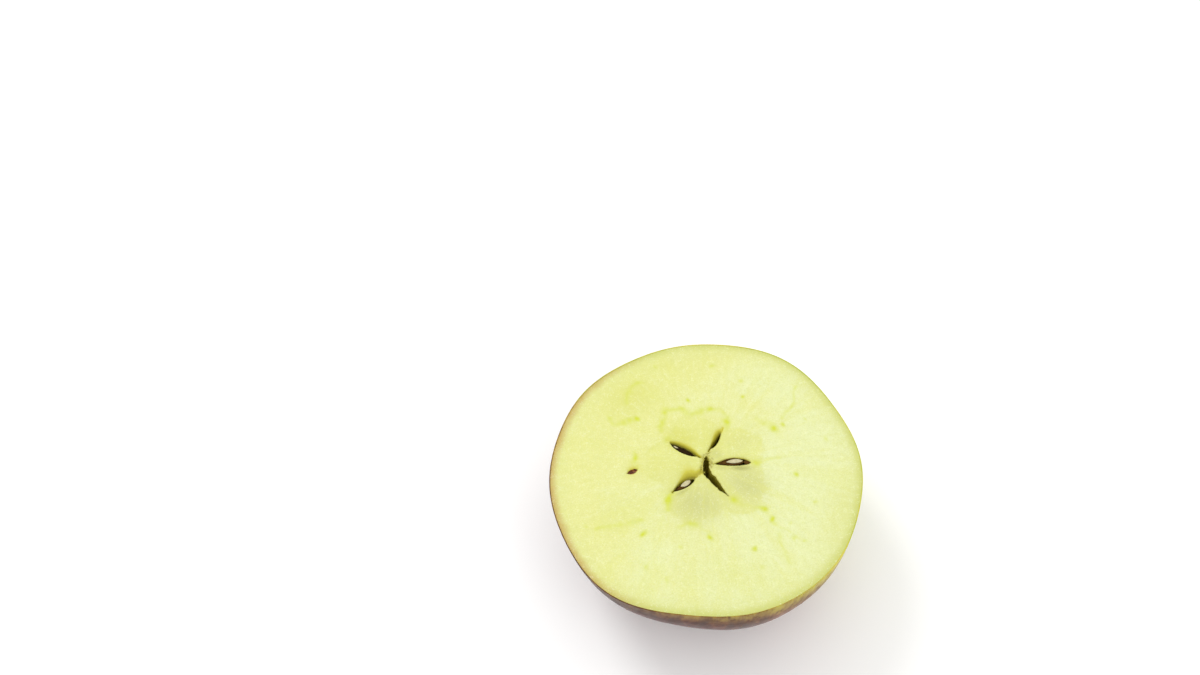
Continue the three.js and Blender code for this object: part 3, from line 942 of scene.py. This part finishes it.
def makeLenticelMaterial():
    material, tree, shader, at = newMaterial("lenticelCork")
    grain = noiseOf(tree, at, 900.0, 2.0)
    shade = mixColour(tree, mapRange(tree, grain, 0.35, 0.65), colour(134, 104, 62), colour(176, 148, 92))
    tree.links.new(shade, shader.inputs["Base Color"])
    shader.inputs["Roughness"].default_value = 0.6
    return material


def makeDriedMaterial():
    material, tree, shader, at = newMaterial("driedCalyx")
    grain = noiseOf(tree, at, 800.0, 4.0, 0.6)
    shade = mixColour(tree, mapRange(tree, grain, 0.35, 0.65), colour(58, 38, 22), colour(126, 92, 56))
    tree.links.new(shade, shader.inputs["Base Color"])
    shader.inputs["Roughness"].default_value = 0.75
    addBump(tree, shader, grain, 0.05 * mm, 0.7)
    return material


def makeFibreMaterial():
    material, tree, shader, at = newMaterial("pithFibre")
    grain = noiseOf(tree, at, 900.0, 3.0)
    shade = mixColour(tree, mapRange(tree, grain, 0.35, 0.65), colour(196, 186, 58), colour(220, 214, 112))
    tree.links.new(shade, shader.inputs["Base Color"])
    shader.inputs["Roughness"].default_value = 0.55
    return material


def makeCoatMaterial():
    material, tree, shader, at = newMaterial("seedCoat")
    grain = noiseOf(tree, at, 1500.0, 4.0, 0.6)
    shade = mixColour(tree, mapRange(tree, grain, 0.3, 0.7), colour(60, 40, 6), colour(98, 68, 24))
    # painted shade: the coat darkens by the seed's dark share
    shade = mixColour(tree, attributeOf(tree, "dark"), shade, colour(34, 22, 4))
    tree.links.new(shade, shader.inputs["Base Color"])
    tree.links.new(mapRange(tree, grain, 0.3, 0.7, 0.45, 0.6), shader.inputs["Roughness"])
    shader.inputs["Specular IOR Level"].default_value = 0.06
    addBump(tree, shader, grain, 0.03 * mm, 0.5)
    return material


def makeKernelMaterial():
    material, tree, shader, at = newMaterial("seedKernel")
    grain = noiseOf(tree, at, 1600.0, 3.0, 0.6)
    shade = mixColour(tree, mapRange(tree, grain, 0.3, 0.7), colour(202, 195, 156), colour(184, 175, 130))
    tree.links.new(shade, shader.inputs["Base Color"])
    shader.inputs["Roughness"].default_value = 0.45
    shader.inputs["Subsurface Weight"].default_value = 0.15
    shader.inputs["Subsurface Radius"].default_value = (1.0, 0.9, 0.7)
    shader.inputs["Subsurface Scale"].default_value = 0.4 * mm
    addBump(tree, shader, grain, 0.03 * mm, 0.5)
    return material


def makeFloorMaterial():
    material, tree, shader, at = newMaterial("floorPaint")
    cloud = noiseOf(tree, at, 12.0, 2.0)
    tree.links.new(mixColour(tree, cloud, colour(252, 252, 252), colour(250, 250, 249)),
                   shader.inputs["Base Color"])
    shader.inputs["Roughness"].default_value = 0.6
    return material


# dark: painted shade on the seed's coat, strongest for the upper left seed, which lies deep in its hollow
seeds = {
    "seedRight": {
        "node": "seed_right", "from": (2.9, -0.5), "to": (9.4, 0.0), "bow": 0.28, "width": 1.9,
        "widest": 0.58, "depth": 6.2, "top": 0.06, "rim": 0.26, "dark": 0.15,
        "kernel": {"from": (4.95, -0.1), "to": (9.3, 0.25), "bow": 0.12, "width": 1.15, "widest": 0.55},
    },
    "seedRightSmall": {
        "node": "seed_right_small", "from": (9.45, -0.1), "to": (11.0, -0.2), "bow": 0, "width": 1.0,
        "widest": 0.45, "depth": 2.4, "top": 0.04, "rim": 0.2, "dark": 0.1,
    },
    "seedLowerLeft": {
        "node": "seed_lower_left", "from": (-4.2, -5.2), "to": (-8.3, -8.05), "bow": 0.1, "width": 1.4,
        "widest": 0.38, "depth": 5.8, "top": 0.1, "rim": 0.08, "dark": 0.2,
        "kernel": {"from": (-4.3, -5.2), "to": (-6.85, -6.9), "bow": 0.1, "width": 1.3, "widest": 0.46},
    },
    "seedUpperLeft": {
        "node": "seed_upper_left", "from": (-3.2, 2.15), "to": (-8.5, 5.05), "bow": 0.2, "width": 1.15,
        "widest": 0.5, "depth": 6, "top": 0.45, "rim": 0.2, "dark": 0.9,
        "kernel": {"from": (-6.9, 4.1), "to": (-8.15, 4.8), "bow": 0.05, "width": 0.42, "widest": 0.55},
    },
}


# scale, inset and height over the seed's top of the rings that a kernel is lofted through
kernelRings = [(0.6, 0, -0.9), (0.9, 0, -0.5), (1, 0, -0.1), (1, 0.05, -0.03), (1, 0.15, 0.01),
               (1, 0.3, 0.03)]


def loftedSolid(name, core, rings, material):
    # rings: (list of (x, y), height over the cut face), from the bottom up, in millimetres.
    points, faces = [], []
    n = len(rings[0][0])
    for ring, height in rings:
        for p in ring:
            points.append(Vector((core.x + p.x * mm, core.y + p.y * mm, cutHeight + height * mm)))
    for k in range(len(rings) - 1):
        for i in range(n):
            j = (i + 1) % n
            faces.append((k * n + i, k * n + j, (k + 1) * n + j, (k + 1) * n + i))
    top = (len(rings) - 1) * n
    for i in range(n // 2):
        across = (n - i) % n
        faces.append(tuple(dict.fromkeys((i, across, n - i - 1, i + 1))))
        faces.append(tuple(dict.fromkeys((top + i, top + i + 1, top + n - i - 1, top + across))))
    return meshFrom(name, points, faces, [material])


def makeSeed(name, core, coatMaterial, kernelMaterial):
    seed = seeds[name]
    rings = []
    levels = 14
    for k in range(1, levels + 1):
        rise = k / levels
        scale = math.sin(math.pi / 2 * rise) ** 0.8
        rings.append((lensRing(seed, scale=scale), -seed["top"] - 0.06 - seed["depth"] * (1 - rise) ** 1.3))
    rings.append((lensRing(seed, inset=0.04), -seed["top"] - 0.01))
    rings.append((lensRing(seed, inset=0.1), -seed["top"]))
    if "kernel" in seed:
        rings.append((lensRing(seed, inset=seed["rim"]), -seed["top"] - 0.04))
        rings.append((lensRing(seed, inset=seed["rim"] + 0.05), -seed["top"] - 0.16))
    else:
        rings.append((lensRing(seed, inset=seed["rim"]), -seed["top"] + 0.06))
    coat = addPiece(name, loftedSolid(name, core, rings, coatMaterial), sharpFrom=70)
    setAttribute(coat.data, "dark", [seed["dark"]] * len(coat.data.vertices))
    pieces = [coat]
    if "kernel" in seed:
        lens = seed["kernel"]
        rings = [
            (lensRing(lens, scale=scale, inset=inset), rise - seed["top"])
            for scale, inset, rise in kernelRings
        ]
        kernel = loftedSolid(name + "Kernel", core, rings, kernelMaterial)
        pieces.append(addPiece(name + "Kernel", kernel, sharpFrom=70))
    return pieces


lenticels = {"perSquareMetre": 42000.0, "radius": (0.10, 0.26), "rise": 0.05, "seed": 4}


def makeLenticelTree():
    # Flat corky domes, scattered over the peel.
    tree, given, result = treeWithInputs(
        "lenticelScatter", "GeometryNodeTree",
        {"Geometry": "Geometry", "Density": "Float", "Least Radius": "Float", "Most Radius": "Float",
         "Rise": "Float", "Lowest": "Float", "Highest": "Float", "Seed": "Int", "Material": "Material"},
        {"Geometry": "Geometry"},
    )
    height = positionParts(tree)[2]
    above = addMath(tree, "GREATER_THAN", height, given["Lowest"])
    below = addMath(tree, "LESS_THAN", height, given["Highest"])
    spread = addNode(tree, "GeometryNodeDistributePointsOnFaces", {
        "Mesh": given["Geometry"], "Selection": addMath(tree, "MULTIPLY", above, below),
        "Density": given["Density"], "Seed": given["Seed"],
    })
    dome = addNode(tree, "GeometryNodeMeshCone", {
        "Vertices": 9, "Side Segments": 2, "Radius Top": 0.35, "Radius Bottom": 1.0, "Depth": 1.0,
    })
    size = addNode(tree, "FunctionNodeRandomValue", data_type="FLOAT")
    linkOrSet(tree, size.inputs[2], given["Least Radius"])
    linkOrSet(tree, size.inputs[3], given["Most Radius"])
    linkOrSet(tree, size.inputs["Seed"], given["Seed"])
    scale = addNode(tree, "ShaderNodeCombineXYZ", {0: size.outputs[1], 1: size.outputs[1], 2: given["Rise"]})
    placed = addNode(tree, "GeometryNodeInstanceOnPoints", {
        "Points": spread.outputs["Points"], "Instance": dome.outputs["Mesh"],
        "Rotation": spread.outputs["Rotation"], "Scale": scale.outputs[0],
    })
    finishTree(tree, result, placed.outputs[0], given["Material"])
    return tree


calyxSizes = {
    "sepals": 5, "ringRadius": 1.6, "sepalLength": 5.2, "sepalWidth": 3.2, "curl": 1.5, "thickness": 0.22,
    "crinkle": 0.7, "stamens": 16, "stamenLength": 2.6, "stamenRadius": 0.11, "stamenLean": 0.5,
    "sink": 0.25,
    "seed": 11,
}


def makeSepalTree():
    # Dried sepals round the eye of the fruit: one curled leaf, placed on the points of a ring.
    tree, given, result = treeWithInputs(
        "sepalRing", "GeometryNodeTree",
        {"Count": "Int", "Ring Radius": "Float", "Length": "Float", "Width": "Float", "Curl": "Float",
         "Thickness": "Float", "Centre": "Vector", "Seed": "Int", "Material": "Material"},
        {"Geometry": "Geometry"},
    )

    def m(operation, *values):
        return addMath(tree, operation, *values)

    leaf = addNode(tree, "GeometryNodeMeshGrid",
                   {"Size X": 1.0, "Size Y": 1.0, "Vertices X": 7, "Vertices Y": 13})
    place = positionParts(tree)
    across, t = place[0], m("ADD", place[1], 0.5)
    taper = m("MULTIPLY", m("POWER", m("SUBTRACT", 1.02, t), 0.8), m("ADD", 0.75, m("MULTIPLY", t, 0.6)))
    x = m("MULTIPLY", m("MULTIPLY", across, taper), given["Width"])
    turn = m("MULTIPLY", t, given["Curl"])
    y = m("MULTIPLY", m("DIVIDE", m("SUBTRACT", 1.0, m("COSINE", turn)), given["Curl"]), given["Length"])
    cup = m("MULTIPLY", m("MULTIPLY", m("POWER", across, 2.0), given["Width"]), 0.9)
    z = m("SUBTRACT", cup, m("MULTIPLY", m("DIVIDE", m("SINE", turn), given["Curl"]), given["Length"]))
    shaped = addNode(tree, "ShaderNodeCombineXYZ", {0: x, 1: y, 2: z})
    cloud = addNode(tree, "ShaderNodeTexNoise", {"Vector": shaped.outputs[0], "Scale": 700.0},
                    noise_dimensions="3D")
    crinkle = addVector(tree, "SUBTRACT", cloud.outputs["Color"], (0.5, 0.5, 0.5))
    crinkle = addVector(tree, "SCALE", crinkle, factor=calyxSizes["crinkle"] * mm)
    shape = addVector(tree, "ADD", shaped.outputs[0], crinkle)
    bent = addNode(tree, "GeometryNodeSetPosition", {"Geometry": leaf.outputs[0], "Position": shape})
    thick = addNode(tree, "GeometryNodeExtrudeMesh", {
        "Mesh": bent.outputs[0], "Offset Scale": given["Thickness"], "Individual": False,
    }, mode="FACES")
    under = addNode(tree, "GeometryNodeFlipFaces", {"Mesh": bent.outputs[0]})
    joined = tree.nodes.new("GeometryNodeJoinGeometry")
    tree.links.new(thick.outputs[0], joined.inputs[0])
    tree.links.new(under.outputs[0], joined.inputs[0])
    closed = addNode(tree, "GeometryNodeMergeByDistance",
                     {"Geometry": joined.outputs[0], "Distance": 0.002 * mm})
    ring = addNode(tree, "GeometryNodeMeshCircle",
                   {"Vertices": given["Count"], "Radius": given["Ring Radius"]})
    index = tree.nodes.new("GeometryNodeInputIndex").outputs[0]
    jitter = addNode(tree, "FunctionNodeRandomValue", data_type="FLOAT")
    jitter.inputs[2].default_value = -0.3
    jitter.inputs[3].default_value = 0.3
    linkOrSet(tree, jitter.inputs["Seed"], given["Seed"])
    turnBy = m("DIVIDE", m("MULTIPLY", index, 2 * math.pi), given["Count"])
    turnBy = m("ADD", m("SUBTRACT", turnBy, math.pi / 2), m("MULTIPLY", jitter.outputs[1], 0.5))
    rotation = addNode(tree, "ShaderNodeCombineXYZ", {0: jitter.outputs[1], 1: 0.0, 2: turnBy})
    placed = addNode(tree, "GeometryNodeInstanceOnPoints", {
        "Points": ring.outputs[0], "Instance": closed.outputs[0], "Rotation": rotation.outputs[0],
    })
    ringed = addNode(tree, "GeometryNodeRealizeInstances", {"Geometry": placed.outputs[0]})
    moved = addNode(tree, "GeometryNodeSetPosition",
                    {"Geometry": ringed.outputs[0], "Offset": given["Centre"]})
    finishTree(tree, result, moved.outputs[0], given["Material"])
    return tree


def makeHairTree():
    # Thin tapering hairs that stand on the points of the given mesh and lean at random.
    tree, given, result = treeWithInputs(
        "hairs", "GeometryNodeTree",
        {"Geometry": "Geometry", "Length": "Float", "Radius": "Float", "Lean": "Float", "Base Turn": "Float",
         "Seed": "Int", "Material": "Material"},
        {"Geometry": "Geometry"},
    )
    cone = addNode(tree, "GeometryNodeMeshCone", {
        "Vertices": 6, "Side Segments": 6, "Radius Top": addMath(tree, "MULTIPLY", given["Radius"], 0.35),
        "Radius Bottom": given["Radius"], "Depth": given["Length"],
    })
    share = addMath(tree, "DIVIDE", positionParts(tree)[2], given["Length"])
    tipBow = addMath(tree, "MULTIPLY", given["Length"], 0.35)
    bow = addMath(tree, "MULTIPLY", addMath(tree, "MULTIPLY", share, share), tipBow)
    offset = addNode(tree, "ShaderNodeCombineXYZ", {0: bow, 1: 0.0, 2: 0.0})
    bent = addNode(tree, "GeometryNodeSetPosition",
                   {"Geometry": cone.outputs["Mesh"], "Offset": offset.outputs[0]})
    angles = addNode(tree, "FunctionNodeRandomValue", data_type="FLOAT_VECTOR")
    lean = addNode(tree, "ShaderNodeCombineXYZ", {0: given["Lean"], 1: given["Lean"], 2: math.pi})
    linkOrSet(tree, angles.inputs[0], addVector(tree, "SCALE", lean.outputs[0], factor=-1.0))
    linkOrSet(tree, angles.inputs[1], lean.outputs[0])
    linkOrSet(tree, angles.inputs["Seed"], given["Seed"])
    base = addNode(tree, "ShaderNodeCombineXYZ", {0: given["Base Turn"], 1: 0.0, 2: 0.0})
    rotation = addVector(tree, "ADD", angles.outputs[0], base.outputs[0])
    placed = addNode(tree, "GeometryNodeInstanceOnPoints", {
        "Points": given["Geometry"], "Instance": bent.outputs[0], "Rotation": rotation,
    })
    finishTree(tree, result, placed.outputs[0], given["Material"])
    return tree


fibres = {
    # chains round the pith's torn edge that the fibres stand on, and their sizes in mm
    "chains": [
        [(0.45, 1.7), (0.7, 1.2), (0.75, 0.4), (0.85, -0.4)],
        [(-0.6, 1.3), (-0.9, 0.3), (-1.0, -0.8), (-1.15, -2.4)],
        [(1.3, -0.5), (2.0, -0.5)], [(0.6, 2.4), (1.0, 3.2)], [(-1.1, -2.4), (-0.9, -3.4)],
    ],
    "step": 0.14, "length": 0.6, "radius": 0.07, "lean": 1.3, "seed": 21,
}


def fibrePoints(core):
    random.seed(fibres["seed"])
    points = []
    for chain in fibres["chains"]:
        for a, b in zip(chain, chain[1:]):
            a, b = Vector(a), Vector(b)
            for i in range(max(int((b - a).length / fibres["step"]), 1)):
                p = a.lerp(b, random.random())
                p += Vector((random.uniform(-0.1, 0.1), random.uniform(-0.1, 0.1)))
                points.append(core + Vector((p.x, p.y, random.uniform(-0.25, -0.05))) * mm)
    return points


print("growing the peel")
bowlTree = makeBowlTree()
trial = growMesh("bowlTrial", bowlTree, bowlValues(192, 40, 0.0, None))
xs = [v.co.x for v in trial.vertices]
ys = [v.co.y for v in trial.vertices]
core = Vector((
    (bodyLow.x + bodyHigh.x - min(xs) - max(xs)) / 2, (bodyLow.y + bodyHigh.y - min(ys) - max(ys)) / 2,
    cutHeight,
))
print("core at", [round(c / mm, 2) for c in core])

grainGroup = makeGrainGroup()
fleshMaterial = makeFleshMaterial(grainGroup, core)
liningMaterial = makeLiningMaterial()
brownMaterial = makeBrownMaterial()
peelMaterial = makePeelMaterial(core)
coatMaterial = makeCoatMaterial()
kernelMaterial = makeKernelMaterial()

peelMesh = growMesh("peel", bowlTree, bowlValues(420, 100, 0.0, peelMaterial))
for v in peelMesh.vertices:
    v.co.x += core.x
    v.co.y += core.y
    if v.co.z > cutHeight - 0.001 * mm:
        v.co.z += (0.02 + 0.03 * noise.noise(v.co * 700)) * mm
peel = addPiece("peel", peelMesh)
thicken = peel.modifiers.new("thickness", "SOLIDIFY")
thicken.thickness = fruit["peelThickness"] * mm
thicken.offset = -1
graph = bpy.context.evaluated_depsgraph_get()
solidPeel = bpy.data.meshes.new_from_object(peel.evaluated_get(graph))
peel.modifiers.clear()
peel.data = solidPeel
solidPeel.set_sharp_from_angle(angle=math.radians(50))

print("scattering lenticels and building the calyx")
outer = growMesh("peelOuter", bowlTree, bowlValues(210, 60, 0.0, None))
outer.transform(mathutils.Matrix.Translation((core.x, core.y, 0)))
lenticelMesh = growMesh("lenticels", makeLenticelTree(), {
    "Density": lenticels["perSquareMetre"], "Least Radius": lenticels["radius"][0] * mm,
    "Most Radius": lenticels["radius"][1] * mm, "Rise": lenticels["rise"] * mm, "Lowest": 0.4 * mm,
    "Highest": cutHeight - 0.8 * mm, "Seed": lenticels["seed"], "Material": makeLenticelMaterial(),
}, outer)
lenticelPiece = addPiece("lenticels", lenticelMesh)

eye = Vector((core.x + fruit["calyx"][0] * mm, core.y + fruit["calyx"][1] * mm,
              cutHeight - (fruit["bowlDepth"] - fruit["basinDepth"] - calyxSizes["sink"]) * mm))
driedMaterial = makeDriedMaterial()
sepalMesh = growMesh("sepals", makeSepalTree(), {
    "Count": calyxSizes["sepals"], "Ring Radius": calyxSizes["ringRadius"] * mm,
    "Length": calyxSizes["sepalLength"] * mm, "Width": calyxSizes["sepalWidth"] * mm,
    "Curl": calyxSizes["curl"], "Thickness": calyxSizes["thickness"] * mm, "Centre": eye,
    "Seed": calyxSizes["seed"], "Material": driedMaterial,
})
sepalPiece = addPiece("sepals", sepalMesh)
random.seed(calyxSizes["seed"])
spots = []
for i in range(calyxSizes["stamens"]):
    angle, reach = 2 * math.pi * i / calyxSizes["stamens"], random.uniform(0.3, 1.3) * mm
    spots.append(eye + Vector((math.cos(angle) * reach, math.sin(angle) * reach, 0)))
hairTree = makeHairTree()
stamenMesh = growMesh("stamens", hairTree, {
    "Length": calyxSizes["stamenLength"] * mm, "Radius": calyxSizes["stamenRadius"] * mm,
    "Lean": calyxSizes["stamenLean"],
    "Base Turn": math.pi, "Seed": calyxSizes["seed"], "Material": driedMaterial,
}, meshFrom("stamenSpots", spots, []))
stamenPiece = addPiece("stamens", stamenMesh)
fibreMesh = growMesh("pithFibres", hairTree, {
    "Length": fibres["length"] * mm, "Radius": fibres["radius"] * mm, "Lean": fibres["lean"],
    "Base Turn": 0.0, "Seed": fibres["seed"], "Material": makeFibreMaterial(),
}, meshFrom("fibreSpots", fibrePoints(core), []))
fibrePiece = addPiece("pithFibres", fibreMesh)

print("cutting the face")
bowlMesh = growMesh("fleshBowl", bowlTree, bowlValues(420, 36, fruit["fleshInset"], fleshMaterial))
for v in bowlMesh.vertices:
    v.co.x += core.x
    v.co.y += core.y
flesh = addPiece("flesh", makeFlesh(bowlMesh, core, fleshMaterial, liningMaterial, brownMaterial),
                 sharpFrom=60)
print("flesh triangles", sum(len(p.vertices) - 2 for p in flesh.data.polygons))

print("placing the seeds")
seedPieces = {name: makeSeed(name, core, coatMaterial, kernelMaterial) for name in seeds}

floorHalf = 15
floorLevel = -0.02 * mm  # a hair low, so that the apple rests on it without sharing faces
floorTurns = ((-1, -1), (1, -1), (1, 1), (-1, 1))
floorCorners = [(x * floorHalf, y * floorHalf, floorLevel) for x, y in floorTurns]
floorMesh = meshFrom("floor", floorCorners, [(0, 1, 2, 3)], [makeFloorMaterial()])
floor = addPiece("floor", floorMesh, smooth=False)

camera = bpy.data.objects.new("camera", bpy.data.cameras.new("camera"))
scene.collection.objects.link(camera)
camera.data.lens = view["lens"]
camera.data.sensor_width = view["sensor"]
camera.data.clip_start = 0.01
camera.location = core + Vector(view["fromCore"])
camera.rotation_euler = (math.radians(90 - view["tilt"]), 0, 0)
scene.camera = camera

world = bpy.data.worlds.new("studio")
scene.world = world
world.use_nodes = True
world.node_tree.nodes["Background"].inputs["Color"].default_value = (1, 1, 1, 1)
world.node_tree.nodes["Background"].inputs["Strength"].default_value = 1.0


def addLamp(name, place, size, power, aim=(0, 0, 0.02)):
    light = bpy.data.lights.new(name, "AREA")
    light.shape = "DISK"
    light.size = size
    light.energy = power
    lamp = bpy.data.objects.new(name, light)
    scene.collection.objects.link(lamp)
    lamp.location = place
    lamp.rotation_euler = (Vector(aim) - Vector(place)).to_track_quat("-Z", "Y").to_euler()
    return lamp


addLamp("keySoftbox", (-0.5, 0.5, 0.8), 0.4, 3.3)
addLamp("fillSoftbox", (0.6, -0.5, 0.7), 0.6, 0.7)
scene.view_settings.view_transform = "Standard"

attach(flesh, "root")
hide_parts("apple_half")
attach(peel, "root")
for piece, finish in ((lenticelPiece, "peel"), (sepalPiece, "calyx"), (stamenPiece, "calyx"),
                      (fibrePiece, "flesh")):
    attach(piece, "root")
for name, pieces in seedPieces.items():
    for piece, finish in zip(pieces, ("seed_coat", "seed_kernel")):
        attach(piece, "root")
    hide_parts(seeds[name]["node"])
